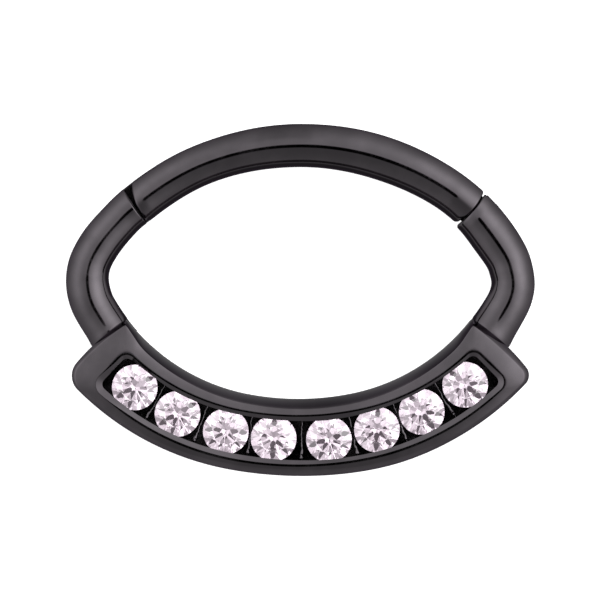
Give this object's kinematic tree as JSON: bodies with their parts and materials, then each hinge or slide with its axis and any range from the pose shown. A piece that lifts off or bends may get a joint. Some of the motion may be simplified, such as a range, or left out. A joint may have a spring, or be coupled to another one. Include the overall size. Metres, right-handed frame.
{
  "type": "hinged clicker ring",
  "caption": "Eye-shaped body-jewellery ring of round black-coated wire, with a hinged top segment and a curved channel setting of round stones below.",
  "frame": {"origin": "on the surface that the ring lies on, under the middle of its width and height", "axes": "+Z out of the front, through the stones; +Y from the setting to the hinged segment; +X from the hinge side to the clasp side"},
  "size_m": [0.013, 0.0098, 0.002],
  "materials": {
    "coated_steel": "black vapour-deposited coating, polished",
    "stone": "faceted and clear, very pale pink"
  },
  "bodies": {
    "ring": {"ring_body": "coated_steel", "stone_1": "stone", "stone_2": "stone", "stone_3": "stone", "stone_4": "stone", "stone_5": "stone", "stone_6": "stone", "stone_7": "stone", "stone_8": "stone"},
    "segment": {"hinged_segment": "coated_steel", "hinge_pin": "coated_steel"}
  },
  "joints": [
    {"name": "segment_hinge", "type": "hinge", "parent": "ring", "child": "segment", "pos_m": [-0.00412, 0.00322, 0.0006], "axis": [0, 0, 1], "range_deg": [0, 90]}
  ]
}
